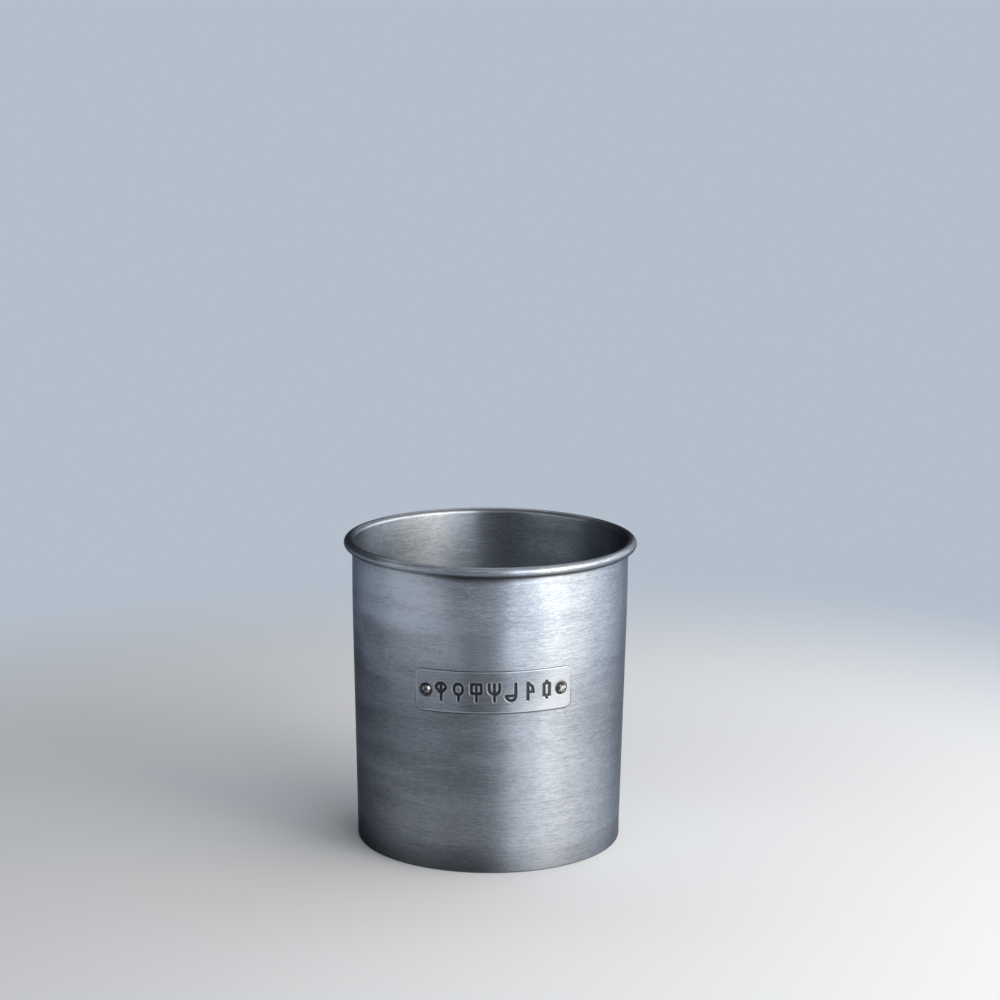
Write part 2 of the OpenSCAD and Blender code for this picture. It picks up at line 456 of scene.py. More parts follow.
def steel(name, dark, light, roughness, anisotropy, hair=0.03, dent=0.3, dirt_and_shade=untouched,
          wear_and_sheen=untouched, polish=untouched, map_name=FINISH_MAP):
    """Brushed steel. The first finish function says where the dark colour goes, for real dirt and for
    painted shade, the second where the bright colour goes, for wear and for painted sheen, and
    polish where the steel is smoother."""
    material = bpy.data.materials.new(name)
    material.use_nodes = True
    n = Nodes(material.node_tree)
    n.tree.nodes.clear()
    spot = spot_on(n, map_name)
    tones = {"hairs": brushed_noise(n, spot, HAIRS),
             "strokes": brushed_noise(n, spot, STROKES),
             "smears": brushed_noise(n, spot, SMEARS),
             "clouds": n.noise(spot.place, CLOUDS_PER_M, 3.0),
             "grain": n.noise(spot.place, GRAINS_PER_M, 1.0)}
    tone = n.plus(*[n.times(tones[kind], share) for kind, share in TONE_SHARES.items()])
    patina = n.blend(n.ramp(tone, *TONE_ENDS), (*dark, 1), (*light, 1))
    pit = pits(n, spot)
    # The dark places join real dirt and specks with painted shade, and the bright places join wear
    # with painted sheen.
    dark_and_shaded_places = n.larger(dirt_and_shade(n, spot), n.times(pit, PIT_DARKNESS))
    worn_and_sheen_places = wear_and_sheen(n, spot)
    colour = n.blend(worn_and_sheen_places, n.blend(dark_and_shaded_places, patina, DARK_FINISH_AND_PAINTED_SHADE), RUBBED_STEEL_AND_PAINTED_SHEEN)
    smeared = n.ramp(tones["smears"], *SMEAR_ENDS, roughness + SMEAR_ROUGHNESS,
                     roughness - SMEAR_ROUGHNESS)
    rough = n.plus(smeared, n.times(dark_and_shaded_places, DARK_ROUGHNESS),
                   n.times(worn_and_sheen_places, WORN_ROUGHNESS), n.times(polish(n, spot), -1.0))
    dents = n.noise(spot.place, DENTS_PER_M, 1.0)
    relief = n.plus(n.times(tones["hairs"], hair), n.times(dents, dent), n.times(pit, -PIT_DEPTH))
    bump = n.add("ShaderNodeBump", {"Strength": 1.0, "Distance": MM, "Height": relief})[0]
    round_axis = n.vector(n.times(spot.y, -1.0), spot.x, 0.0)
    tangent = n.add("ShaderNodeVectorTransform", {0: round_axis}, vector_type="VECTOR",
                    convert_from="OBJECT", convert_to="WORLD")[0]
    shader = n.add("ShaderNodeBsdfPrincipled", {
        "Base Color": colour, "Metallic": 1.0, "Roughness": rough, "Specular Tint": EDGE_TINT,
        "Anisotropic": anisotropy, "Anisotropic Rotation": QUARTER_TURN, "Tangent": tangent,
        "Normal": bump})
    n.add("ShaderNodeOutputMaterial", {0: shader[0]})
    return material


def pits(n, spot):
    """A few small dark specks, each in a cell of its own."""
    cells = n.add("ShaderNodeTexVoronoi", {"Vector": spot.place, "Scale": PITS_PER_M})
    rare = n.ramp(n.split(cells["Color"])[0], *PIT_RARITY)
    return n.times(rare, n.ramp(cells["Distance"], *PIT_EDGE, 1.0, 0.0))


# %% [markdown]
# The wall is darkened inside the canister, under the bead and low on it, and in the line round the
# plate. Most of this is painted shade: the shade inside the canister, in the crease under the bead
# and on the bead's lower side and right side, and a line round the plate that is wider below it,
# where the plate's shadow falls. The crease and the line also hold some real dirt. A band of painted
# shade lies above the plate, and painted shade gets thicker towards the foot and on the left side.
# The bright places are the foot, where the table rubs it, the top of the bead, which is rubbed and
# has painted sheen, and a broad patch of painted sheen below the rim on the left, which stands in
# for a reflection. The bead is a little smoother than the wall, because the rolling that made it
# pressed the brush lines down. Most of these places are fades over a height, over a distance to one
# side or over a depth below the wall's face. Their low and high say how much of the dark colour is
# there, or how much of the bright, and in the two fades named W they are the width of a line.

# %% How far each dark and each bright place reaches
# These fades paint shade on the wall: at the foot, low down, in a band, on the bead and inside. The
# crease and the plate line are dirt and painted shade.
FOOT_PAINTED_SHADE = Fade(26, 2, high=0.8)
LOWER_PAINTED_SHADE = Fade(122, 80, high=0.4)
PAINTED_SHADE_BAND = Fade(128, 112, high=0.4)
BEAD_PAINTED_SHADE = Fade(BEAD_Z + 0.3, BEAD_Z - 2.1, high=0.92)
BEAD_RIGHT_PAINTED_SHADE = Fade(10, 50, 0.15, 0.5)
INSIDE_PAINTED_SHADE = Fade(0.3, 0.5, high=0.2)
CREASE_DIRT_AND_SHADE = 0.97
CREASE_START = 0.4
PLATE_LINE_DIRT_AND_SHADE = 0.95

# The left side is painted darker, as shade.
PAINTED_SHADE_SIDE = Fade(20, -10, 0.6, 1.0)
PAINTED_SHADE_BAND_X = -7
PAINTED_SHADE_BAND_SIDES = Fade(3, 16, 1.0, 0.0)
CREASE_W = Fade(5, 30, 5 * MM, 2 * MM)
PLATE_LINE_W = Fade(PLATE_Z + 8, PLATE_Z - 8, 0.5 * MM, 1.8 * MM)

ON_FACE = Fade(0.1, 0.9, 1.0, 0.0)
ON_BEAD = Fade(-0.3, -0.9)
OUTSIDE_FOLD = Fade(2.5, 3.0, 1.0, 0.0)

# The foot's wear is real. The bead's top is wear and painted sheen, and the patch below the rim on
# the left is painted sheen that stands in for a reflection.
FOOT_WEAR = Fade(0.1, 0.6, 0.5, 0.0)
RIM_WEAR_AND_SHEEN = Fade(BEAD_Z - 0.3, BEAD_Z + 1.0, high=0.2)
PAINTED_SHEEN_STRENGTH = 0.66
PAINTED_SHEEN_CORE = 0.2
PAINTED_SHEEN_Z = 132
PAINTED_SHEEN_HALF_H = 27
PAINTED_SHEEN_TURN = math.radians(-40)
PAINTED_SHEEN_HALF_TURN = math.radians(32)
RUB_SHARE = 0.6
HAIR_SHARE = 0.4
PATCH_ENDS = (0.38, 0.62)
LEAST_PATCH = 0.5
BEAD_POLISH = Fade(BEAD_Z - BEAD_R - 1, BEAD_Z - BEAD_R + 0.5, high=0.02)
print("the grip's patch is", 2 * PAINTED_SHEEN_HALF_H, "mm tall, its middle at a height of", PAINTED_SHEEN_Z, "mm")

# %% [markdown]
# Three functions put these together: one for the dark places, one for the bright ones and one for the
# smooth one. The line round the plate needs the distance to a shape with round corners, and the plate
# uses the same measure for its own edge later.


# %% Where the wall is dark and where it is bright
def outline_reach(n, u, v, half_w, half_h, corner):
    """How far past its corner circles' middles a point (u, v) of a round-cornered shape lies."""
    past_u = n.larger(n.minus(n.math("ABSOLUTE", u), n.minus(half_w, corner)), 0.0)
    past_v = n.larger(n.minus(n.math("ABSOLUTE", v), n.minus(half_h, corner)), 0.0)
    return past_u, past_v, n.size(past_u, past_v)


def beside_plate(n, spot):
    """Distance outside the plate's outline, on the wall."""
    turn = n.math("ARCTAN2", spot.x, n.times(spot.y, -1.0))
    a = n.times(turn, PLATE_R * MM)
    b = n.minus(spot.z, PLATE_Z * MM)
    u = n.plus(n.times(a, math.cos(PLATE_TILT)), n.times(b, math.sin(PLATE_TILT)))
    v = n.minus(n.times(b, math.cos(PLATE_TILT)), n.times(a, math.sin(PLATE_TILT)))
    half_w, half_h, corner = PLATE_R * PLATE_TURN * MM, PLATE_H / 2 * MM, PLATE_CORNER * MM
    return n.minus(outline_reach(n, u, v, half_w, half_h, corner)[2], corner)


# Painted shade for the most part, with some real dirt in the crease and round the plate.
def wall_dirt_and_painted_shade(n, spot):
    taper = n.ramp(spot.z, BAND_H * MM, TAPER_Z * MM, FOOT_R * MM, NECK_R * MM, "LINEAR")
    depth = n.minus(taper, spot.radius)
    on_face = n.fade(n.math("ABSOLUTE", depth), ON_FACE)
    beside_shade_band = n.math("ABSOLUTE", n.minus(spot.x, PAINTED_SHADE_BAND_X * MM))
    under_bead = n.minus((BEAD_Z - BEAD_R) * MM, spot.z)
    crease = n.ramp(under_bead, CREASE_START * MM, n.fade(beside_shade_band, CREASE_W), CREASE_DIRT_AND_SHADE, 0.0)
    bead = n.larger(n.fade(spot.z, BEAD_PAINTED_SHADE), n.fade(spot.x, BEAD_RIGHT_PAINTED_SHADE))
    # The line round the plate is wider below it: painted shadow under the plate.
    line = n.ramp(beside_plate(n, spot), 0.0, n.fade(spot.z, PLATE_LINE_W), PLATE_LINE_DIRT_AND_SHADE, 0.0)
    painted_shade_side = n.fade(spot.x, PAINTED_SHADE_SIDE)
    # Darker low down, on the left, in a band and at the foot: painted shade.
    lower = n.times(n.fade(spot.z, LOWER_PAINTED_SHADE), painted_shade_side)
    shade_band = n.times(n.fade(spot.z, PAINTED_SHADE_BAND), n.fade(beside_shade_band, PAINTED_SHADE_BAND_SIDES))
    foot = n.times(n.fade(spot.z, FOOT_PAINTED_SHADE), painted_shade_side, n.fade(depth, OUTSIDE_FOLD))
    return n.larger(n.fade(depth, INSIDE_PAINTED_SHADE), n.times(bead, n.fade(depth, ON_BEAD)),
                    n.times(n.larger(crease, lower, shade_band), on_face), line, foot)


# The foot is rubbed. The top of the bead is rubbed and painted with sheen, and the patch below the
# rim is painted sheen.
def wall_wear_and_painted_sheen(n, spot):
    turn = n.math("ARCTAN2", spot.x, n.times(spot.y, -1.0))
    round_from_sheen = n.math("DIVIDE", n.minus(turn, PAINTED_SHEEN_TURN), PAINTED_SHEEN_HALF_TURN)
    up_from_sheen = n.math("DIVIDE", n.minus(spot.z, PAINTED_SHEEN_Z * MM), PAINTED_SHEEN_HALF_H * MM)
    painted_sheen = n.ramp(n.size(round_from_sheen, up_from_sheen), PAINTED_SHEEN_CORE, 1.0, PAINTED_SHEEN_STRENGTH, 0.0)
    patches = n.plus(n.times(brushed_noise(n, spot, PATCH_STREAKS), RUB_SHARE),
                     n.times(brushed_noise(n, spot, HAIRS), HAIR_SHARE))
    patchy = n.ramp(patches, *PATCH_ENDS, LEAST_PATCH, 1.0)
    return n.times(n.larger(painted_sheen, n.fade(spot.z, FOOT_WEAR), n.fade(spot.z, RIM_WEAR_AND_SHEEN)), patchy)


def wall_polish(n, spot):
    return n.fade(spot.z, BEAD_POLISH)


WALL_STEEL = steel("wall_steel", dark=(0.255, 0.285, 0.33), light=(0.44, 0.48, 0.54),
                   roughness=0.38, anisotropy=0.75, dirt_and_shade=wall_dirt_and_painted_shade, wear_and_sheen=wall_wear_and_painted_sheen,
                   polish=wall_polish)
print("wall steel:", len(WALL_STEEL.node_tree.nodes), "nodes")

# %% [markdown]
# ## The wall
# One sheet makes the whole wall. Read its section from the foot: the sheet folds in and up to grip
# the base, runs up the wall, then curls outwards round a wire to make the bead, and its edge stops
# just short of the wall. The sheet keeps one thickness all the way. A shell with a Solidify modifier
# would be thicker where the curl is tight, so both faces are drawn instead. The steps are short where
# the section bends tightly, so that the highlight along the bead stays smooth.

# %% Draw the wall's section
ROUND_SEGMENTS = 288
FACE_STEPS = 48
BAND_STEPS = 4
BEAD_STEPS = 60
HOLLOW_STEPS = 40
FOOT_STEPS = 24
HEM_STEPS = 12
CUT_EDGE = 0.15


def wall_section():
    hem = (FOOT_R - HEM_R, HEM_R - FOOT_FLAT)
    bead = (BEAD_MID, BEAD_Z)
    curl_r = BEAD_R - SHEET
    lip = NECK_R + CURL_GAP - BEAD_MID
    lip_inside = math.degrees(math.acos(lip / curl_r))
    lip_outside = math.degrees(math.acos(lip / BEAD_R))
    foot_turn = [(r, max(z, 0)) for r, z in arc(hem, HEM_R, 180, 360, FOOT_STEPS)]
    hollow = arc(bead, curl_r, 180, -lip_inside, HOLLOW_STEPS)
    outside = arc(bead, BEAD_R, -lip_outside, 180, BEAD_STEPS)
    band_top = (FOOT_R, BAND_H)
    back_foot = (FOOT_R - SHEET, hem[1])
    leg_out, leg_in = FOOT_R - 2 * HEM_R + SHEET, FOOT_R - 2 * HEM_R
    section = foot_turn + straight(foot_turn[-1], band_top, BAND_STEPS)
    section += wall_face(0.0, BAND_H, BEAD_Z, FACE_STEPS)[:-1] + hollow + outside
    back = wall_face(-SHEET, BAND_H, BEAD_Z, FACE_STEPS)[::-1][1:]
    section += back + straight(back[-1], back_foot, BAND_STEPS)
    section += arc(hem, HEM_R - SHEET, 360, 180, HEM_STEPS)
    section += [(leg_out, HEM_LEG - CUT_EDGE), (leg_out - CUT_EDGE, HEM_LEG)]
    section += [(leg_in + CUT_EDGE, HEM_LEG), (leg_in, HEM_LEG - CUT_EDGE)]
    return section


print("wall section:", len(wall_section()), "points")

# %% [markdown]
# The rivets pass through the wall, so it has two real holes. The punch is a second small tree: two
# cylinders, one at each rivet, are taken out of the wall. The part that finds the rivets' places is
# a function of its own, because the rivets themselves use it later.


# %% Spin the wall and punch its rivet holes
def at_rivets(n, shape, given):
    """Puts a shape at both rivets, with its own Z pointing straight out of the wall."""
    pair = n.add("GeometryNodeMeshLine", {"Count": 2})[0]
    index = n.add("GeometryNodeInputIndex")[0]
    side = n.minus(n.times(index, 2.0), 1.0)
    turn = n.times(given["Turn"], side)
    place = n.vector(n.times(given["Reach"], n.math("SINE", turn)),
                     n.times(given["Reach"], n.math("COSINE", turn), -1.0), given["Height"])
    placed = n.add("GeometryNodeSetPosition", {"Geometry": pair, "Position": place})[0]
    upright = math.pi / 2 + math.atan(LEAN)
    facing = n.add("FunctionNodeEulerToRotation", {0: n.vector(upright, 0.0, turn)})[0]
    inputs = {"Points": placed, "Instance": shape, "Rotation": facing}
    return n.add("GeometryNodeInstanceOnPoints", inputs)[0]


RIVET_INPUTS = {"Turn": "Float", "Reach": "Float", "Height": "Float", "Metal": "Material"}
RIVET_PLACE = {"Turn": RIVET_TURN, "Reach": PLATE_R * MM, "Height": PLATE_Z * MM}
HOLE_SIDES = 32
PUNCH_L = 6


def punch_tree():
    """Takes a round hole out of the piece at each rivet."""
    n, given = geometry_tree("punch", {"Hole Radius": "Float", **RIVET_INPUTS})
    inputs = {"Vertices": HOLE_SIDES, "Radius": given["Hole Radius"], "Depth": PUNCH_L * MM}
    punch = n.add("GeometryNodeMeshCylinder", inputs)[0]
    holes = n.add("GeometryNodeRealizeInstances", {0: at_rivets(n, punch, given)})[0]
    cut = n.add("GeometryNodeMeshBoolean", {"Mesh 1": given["Geometry"], "Mesh 2": holes},
                operation="DIFFERENCE", solver="EXACT")[0]
    return finish_tree(n, cut, given["Metal"])


wall = spin("wall_sheet", wall_section(), ROUND_SEGMENTS, WALL_STEEL)
run_tree(wall, punch_tree(), {"Hole Radius": HOLE_R * MM, "Metal": WALL_STEEL, **RIVET_PLACE})
fit_piece(wall, ["wall"])

# %% [markdown]
# ## The base
# A disc is pressed into a shallow pan, and its turned-down edge sits in the fold of the foot. It is
# the same sheet as the wall, brushed in rings because it is finished while it spins.

# %% Make the base
BASE_LIFT = 4.5
BASE_BEND = 1.2
PAN_STEPS = 24
BEND_STEPS = 12
INNER_BEND_STEPS = 8
BASE_STEEL = steel("base_steel", dark=(0.27, 0.28, 0.30), light=(0.45, 0.46, 0.48),
                   roughness=0.4, anisotropy=0.6)


def base_section():
    flange_r = FOOT_R - SHEET - FIT
    flange_z = SHEET - FOOT_FLAT + FIT
    bend = (flange_r - BASE_BEND, BASE_LIFT - BASE_BEND)
    top, under = (0.0, BASE_LIFT), (0.0, BASE_LIFT - SHEET)
    outside = arc(bend, BASE_BEND, 0, 90, BEND_STEPS)
    inside = arc(bend, BASE_BEND - SHEET, 90, 0, INNER_BEND_STEPS)
    section = [(flange_r - SHEET, flange_z), (flange_r, flange_z)] + outside
    section += straight(outside[-1], top, PAN_STEPS) + [top, under]
    section += straight(under, inside[0], PAN_STEPS) + inside
    return section


base = spin("base_pan", base_section(), ROUND_SEGMENTS, BASE_STEEL)
fit_piece(base, ["base"])

# %% [markdown]
# ## The wire in the bead
# The wire is a plain ring that only shows through the narrow slot of the curl, so the measured ring
# is right as it is. It only needs its metal.

# %% Give the wire its metal
WIRE_STEEL = steel("wire_steel", dark=(0.30, 0.31, 0.32), light=(0.52, 0.53, 0.54),
                   roughness=0.35, anisotropy=0.3, map_name=None)
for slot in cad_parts["rim_wire"].material_slots:
    slot.material = WIRE_STEEL
print("wire slots:", len(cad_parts["rim_wire"].material_slots))

# %% [markdown]
# ## The pictures on the plate
# The plate tells what the canister is for. Here it carries seven small pictures of kitchen tools, of
# the height and stroke that stamped letters would have. Each is drawn as a few strokes, in shares of
# its height from its own middle, because a punch with an even stroke is what stamps them.

# %% Draw the pictures as strokes
MARK_H = 9.6
MARK_PITCH = 8.4
GROOVE_W = 1.5
STROKE_H = MARK_H - GROOVE_W


def half_circle(x, y, radius, side, steps=12):
    """From right to left, over the top when side is 1 and under the bottom when it is -1."""
    turns = [math.pi * i / steps for i in range(steps + 1)]
    return [(x + radius * math.cos(t), y + side * radius * math.sin(t)) for t in turns]


def frame_of(half_w, low, high):
    """The four sides of an upright rectangle."""
    return [(-half_w, low), (half_w, low), (half_w, high), (-half_w, high), (-half_w, low)]


WHISK = [[(0, -0.5), (0, 0.48)],
         [(-0.3, 0.2), (0, -0.12), (0.3, 0.2)],
         half_circle(0, 0.2, 0.3, 1)]
SPOON = [[(0, -0.5), (0, -0.14)],
         half_circle(0, 0.25, 0.25, 1) + half_circle(0, 0.11, 0.25, -1)[::-1] + [(0.25, 0.25)]]
TURNER = [[(0, -0.5), (0, -0.04)], [(0, 0.15), (0, 0.31)], frame_of(0.28, -0.04, 0.5)]
FORK = [[(0, -0.5), (0, 0.5)],
        [(0.3, 0.5)] + half_circle(0, 0.2, 0.3, -1) + [(-0.3, 0.5)]]
LADLE = [[(0.2, 0.5), (0.2, -0.22), (-0.36, -0.22)], half_circle(-0.08, -0.22, 0.28, -1)]
KNIFE = [[(-0.12, -0.5), (-0.12, 0.5), (0.16, 0.24), (0.2, -0.06), (-0.12, -0.06)]]
ROLLING_PIN = [[(0, 0.35), (0, 0.5)], [(0, -0.35), (0, -0.5)], frame_of(0.17, -0.35, 0.35)]
MARKS = [WHISK, SPOON, TURNER, FORK, LADLE, KNIFE, ROLLING_PIN]


def stamp_strokes():
    """All strokes in the plate's plane, as points and edges in metres."""
    points, edges = [], []
    for place, mark in enumerate(MARKS):
        middle = (place - (len(MARKS) - 1) / 2) * MARK_PITCH
        for stroke in mark:
            first = len(points)
            points += [((middle + x * STROKE_H) * MM, y * STROKE_H * MM, 0) for x, y in stroke]
            edges += [(i, i + 1) for i in range(first, len(points) - 1)]
    return points, edges


print("strokes:", sum(len(mark) for mark in MARKS))

# %% [markdown]
# ## Stamping the plate
# A punch pushes the steel down along each stroke and raises a low lip beside it, and the rivets pull
# the plate in round their heads. All of that depends only on the distance to a stroke, to a rivet or
# to the outline. So a tree measures those distances on a fine flat grid, turns them into height,
# rounds the edge, and bends the flat plate round the wall last. Cutting the grooves with a boolean
# would leave sharp walls and no lips.

# %% The flat plate
DIRT_AND_SHADE_MARK = "dirt_and_shade"
WEAR_AND_SHEEN_MARK = "wear_and_sheen"
OUT_MARK = "out"
CORNER_ROWS = 0.3


def flat_plate(n, given):
    """A grid in the plate's outline, with both rivet holes open."""
    size = {"Size X": 2.0, "Size Y": 2.0,
            "Vertices X": given["Columns"], "Vertices Y": given["Rows"]}
    grid = n.add("GeometryNodeMeshGrid", size)[0]
    s, t, _ = n.split(n.add("GeometryNodeInputPosition")[0])
    height = n.math("ABSOLUTE", t)
    turn = n.ramp(height, 1 - CORNER_ROWS, 1.0, 0.0, math.pi / 2, "LINEAR")
    side_h = n.times(n.minus(given["Half Height"], given["Corner"]),
                     n.ramp(height, 0.0, 1 - CORNER_ROWS, 0.0, 1.0, "LINEAR"))
    v = n.plus(side_h, n.times(given["Corner"], n.math("SINE", turn)))
    u = n.plus(n.minus(given["Half Width"], given["Corner"]),
               n.times(given["Corner"], n.math("COSINE", turn)))
    outline = n.vector(n.times(s, u), n.times(v, n.math("SIGN", t)), 0.0)
    shaped = n.add("GeometryNodeSetPosition", {"Geometry": grid, "Position": outline})[0]
    hole = n.math("LESS_THAN", to_rivet(n, given), given["Hole Radius"])
    return n.add("GeometryNodeDeleteGeometry", {"Geometry": shaped, "Selection": hole},
                 domain="POINT")[0]


def to_rivet(n, given):
    """Distance in the plate's plane to the nearer rivet."""
    u, v, _ = n.split(n.add("GeometryNodeInputPosition")[0])
    return n.size(n.minus(n.math("ABSOLUTE", u), given["Rivet Place"]), v)


def inward_from_edge(n, given):
    """Distance in from the outline, and the outward direction there."""
    u, v, _ = n.split(n.add("GeometryNodeInputPosition")[0])
    past_u, past_v, reach = outline_reach(n, u, v, given["Half Width"], given["Half Height"],
                                          given["Corner"])
    size = n.larger(reach, TINY * MM)
    out = n.vector(n.times(n.math("DIVIDE", past_u, size), n.math("SIGN", u)),
                   n.times(n.math("DIVIDE", past_v, size), n.math("SIGN", v)), 0.0)
    return n.minus(given["Corner"], reach), out


# %% [markdown]
# The distances become height, and at the same time two marks that the metal reads: where it is dark,
# and where it is bright. They are kept on the mesh, so the colour always lies exactly where the shape
# is. The dark finish stays in the strokes. Round the rivets it is dirt and painted shade, and the
# smear near the middle is painted shade. The lips and the edge are rubbed, and the lower right corner
# has a painted highlight.


# %% Stamp the front
LIP_W = 0.75
LIP_TOP = 0.3 * LIP_W
GROOVE_SIDE = Fade(-0.28, 0.1, 1.0, 0.0)
LIP_UP = Fade(0.0, LIP_TOP)
LIP_DOWN = Fade(LIP_TOP, LIP_W, 1.0, 0.0)
DIP_SIDE = Fade(2.6, 4.2, 1.0, 0.0)
DIP = 0.08
EDGE_FADE = 2.0

STROKE_DIRT = Fade(-0.15, 0.15, 1.0, 0.0)
# The ring round each rivet is dirt and painted shade, the middle is painted shade, and the corner is
# a painted highlight.
RIVET_RING_DIRT_AND_SHADE = Fade(2.9, 3.9, 0.9, 0.0)
MIDDLE_X = -5
MIDDLE_PAINTED_SHADE = Fade(5, 14, 0.4, 0.0)
CORNER_PAINTED_HIGHLIGHT = Fade(8, 34, high=0.4)
EDGE_WEAR = Fade(0.1, 0.5, 0.5, 0.0)
LIP_WEAR = 0.3


def stamped_front(n, given, flat):
    """Turns the distances on the flat plate into height, and marks dirt and wear."""
    strokes = n.add("GeometryNodeProximity", {0: given["Geometry"]},
                    target_element="EDGES")["Distance"]
    beyond = n.minus(strokes, n.times(given["Groove"], 0.5))
    lip = n.times(n.fade(beyond, LIP_UP), n.fade(beyond, LIP_DOWN))
    rivet = to_rivet(n, given)
    inward, out = inward_from_edge(n, given)
    u, v, _ = n.split(n.add("GeometryNodeInputPosition")[0])
    beside_middle = n.math("ABSOLUTE", n.minus(u, MIDDLE_X * MM))
    # Dark finish in the strokes, dirt and painted shade round the rivets, painted shade in the
    # middle.
    dirt_and_shade = n.larger(n.fade(beyond, STROKE_DIRT), n.fade(rivet, RIVET_RING_DIRT_AND_SHADE),
                    n.fade(beside_middle, MIDDLE_PAINTED_SHADE))
    # A painted highlight towards the lower right corner.
    corner_highlight = n.times(n.fade(n.minus(u, v), CORNER_PAINTED_HIGHLIGHT), n.minus(1.0, dirt_and_shade))
    wear_and_sheen = n.larger(n.times(lip, LIP_WEAR), n.fade(inward, EDGE_WEAR), corner_highlight)
    marked = flat
    for name, value in ((DIRT_AND_SHADE_MARK, dirt_and_shade), (WEAR_AND_SHEEN_MARK, wear_and_sheen)):
        marked = n.add("GeometryNodeStoreNamedAttribute",
                       {"Geometry": marked, "Name": name, "Value": value}, domain="POINT")[0]
    inputs = {"Geometry": marked, "Name": OUT_MARK, "Value": out}
    marked = n.add("GeometryNodeStoreNamedAttribute", inputs, data_type="FLOAT_VECTOR",
                   domain="POINT")[0]
    height = n.plus(given["Thickness"],
                    n.times(n.fade(beyond, GROOVE_SIDE), given["Depth"], -1.0),
                    n.times(lip, given["Lip"]), n.times(n.fade(rivet, DIP_SIDE), -DIP * MM))
    drawn_in = n.ramp(inward, 0.0, EDGE_FADE * MM, 1.0, 0.0, "LINEAR")
    out_x, out_y, _ = n.split(out)
    move = n.times(drawn_in, given["Edge"], -1.0)
    offset = n.vector(n.times(out_x, move), n.times(out_y, move), height)
    return n.add("GeometryNodeSetPosition", {"Geometry": marked, "Offset": offset})[0]


# %% [markdown]
# The front's border is pulled out and down in four steps to round the plate's edge, then straight
# down to the back. The walls of the rivet holes are made by the same steps, without the pull
# outwards.

# %% Round the edge and bend the plate
EDGE_STEPS = 4
PAST_HOLE = 1.5
PLATE_WELD = 0.005


def rounded_border(n, given, front):
    """Adds the rounded edge and the side of the plate to its front."""
    faces = n.add("GeometryNodeInputMeshEdgeNeighbors")[0]
    picked = n.math("COMPARE", faces, 1.0, 0.1)
    past_hole = n.times(given["Hole Radius"], PAST_HOLE)
    at_outline = n.math("GREATER_THAN", to_rivet(n, given), past_hole)
    out = n.add("GeometryNodeInputNamedAttribute", {"Name": OUT_MARK}, data_type="FLOAT_VECTOR")[0]
    out_x, out_y, _ = n.split(out)
    shape = front
    for step in range(EDGE_STEPS):
        start, end = [math.pi / 2 * (step + i) / EDGE_STEPS for i in (0, 1)]
        pull = n.times(given["Edge"], math.sin(end) - math.sin(start), at_outline)
        drop = n.times(given["Edge"], math.cos(end) - math.cos(start))
        shape, picked = pulled_edges(n, shape, picked,
                                     n.vector(n.times(out_x, pull), n.times(out_y, pull), drop))
    shape, picked = pulled_edges(n, shape, picked, (0.0, 0.0, 0.0))
    u, v, _ = n.split(n.add("GeometryNodeInputPosition")[0])
    return n.add("GeometryNodeSetPosition",
                 {"Geometry": shape, "Selection": picked, "Position": n.vector(u, v, 0.0)})[0]


def pulled_edges(n, shape, picked, offset):
    """Pulls new faces out of the picked edges, and picks the new edges."""
    inputs = {"Mesh": shape, "Selection": picked, "Offset Scale": 0.0}
    pulled = n.add("GeometryNodeExtrudeMesh", inputs, mode="EDGES")
    moved = n.add("GeometryNodeSetPosition",
                  {"Geometry": pulled["Mesh"], "Selection": pulled["Top"], "Offset": offset})[0]
    return moved, pulled["Top"]


def bent_round_wall(n, given, flat):
    """Turns the flat plate by its tilt and lays it round the leaning wall."""
    u, v, w = n.split(n.add("GeometryNodeInputPosition")[0])
    cos_tilt, sin_tilt = math.cos(PLATE_TILT), math.sin(PLATE_TILT)
    a = n.minus(n.times(u, cos_tilt), n.times(v, sin_tilt))
    b = n.plus(n.times(u, sin_tilt), n.times(v, cos_tilt))
    turn = n.math("DIVIDE", a, given["Reach"])
    reach = n.plus(given["Reach"], n.times(b, LEAN), w, FIT * MM)
    place = n.vector(n.times(reach, n.math("SINE", turn)),
                     n.times(reach, n.math("COSINE", turn), -1.0), n.plus(given["Height"], b))
    return n.add("GeometryNodeSetPosition", {"Geometry": flat, "Position": place})[0]


def plate_tree():
    lengths = ["Half Width", "Half Height", "Corner", "Thickness", "Edge", "Groove", "Depth", "Lip",
               "Rivet Place", "Hole Radius", "Reach", "Height"]
    kinds = {"Columns": "Int", "Rows": "Int", **{name: "Float" for name in lengths}}
    n, given = geometry_tree("stamped plate", {**kinds, "Metal": "Material"})
    flat = flat_plate(n, given)
    back = n.add("GeometryNodeFlipFaces", {0: flat})[0]
    front = rounded_border(n, given, stamped_front(n, given, flat))
    both = n.add("GeometryNodeJoinGeometry")
    for half in (front, back):
        n.tree.links.new(half, both[0].node.inputs[0])
    inputs = {"Geometry": both[0], "Distance": PLATE_WELD * MM}
    closed = n.add("GeometryNodeMergeByDistance", inputs)[0]
    u, v, _ = n.split(n.add("GeometryNodeInputPosition")[0])
    mapped = store_map(n, closed, n.vector(u, v, 0.0))
    return finish_tree(n, bent_round_wall(n, given, mapped), given["Metal"])


# %% [markdown]
# The plate's metal is the wall's, a little darker. It reads the two marks that the tree left.


# %% Make the plate
def mark(name):
    """A finish function that reads a mark from the mesh."""
    return lambda n, spot: n.add("ShaderNodeAttribute", attribute_name=name)["Fac"]


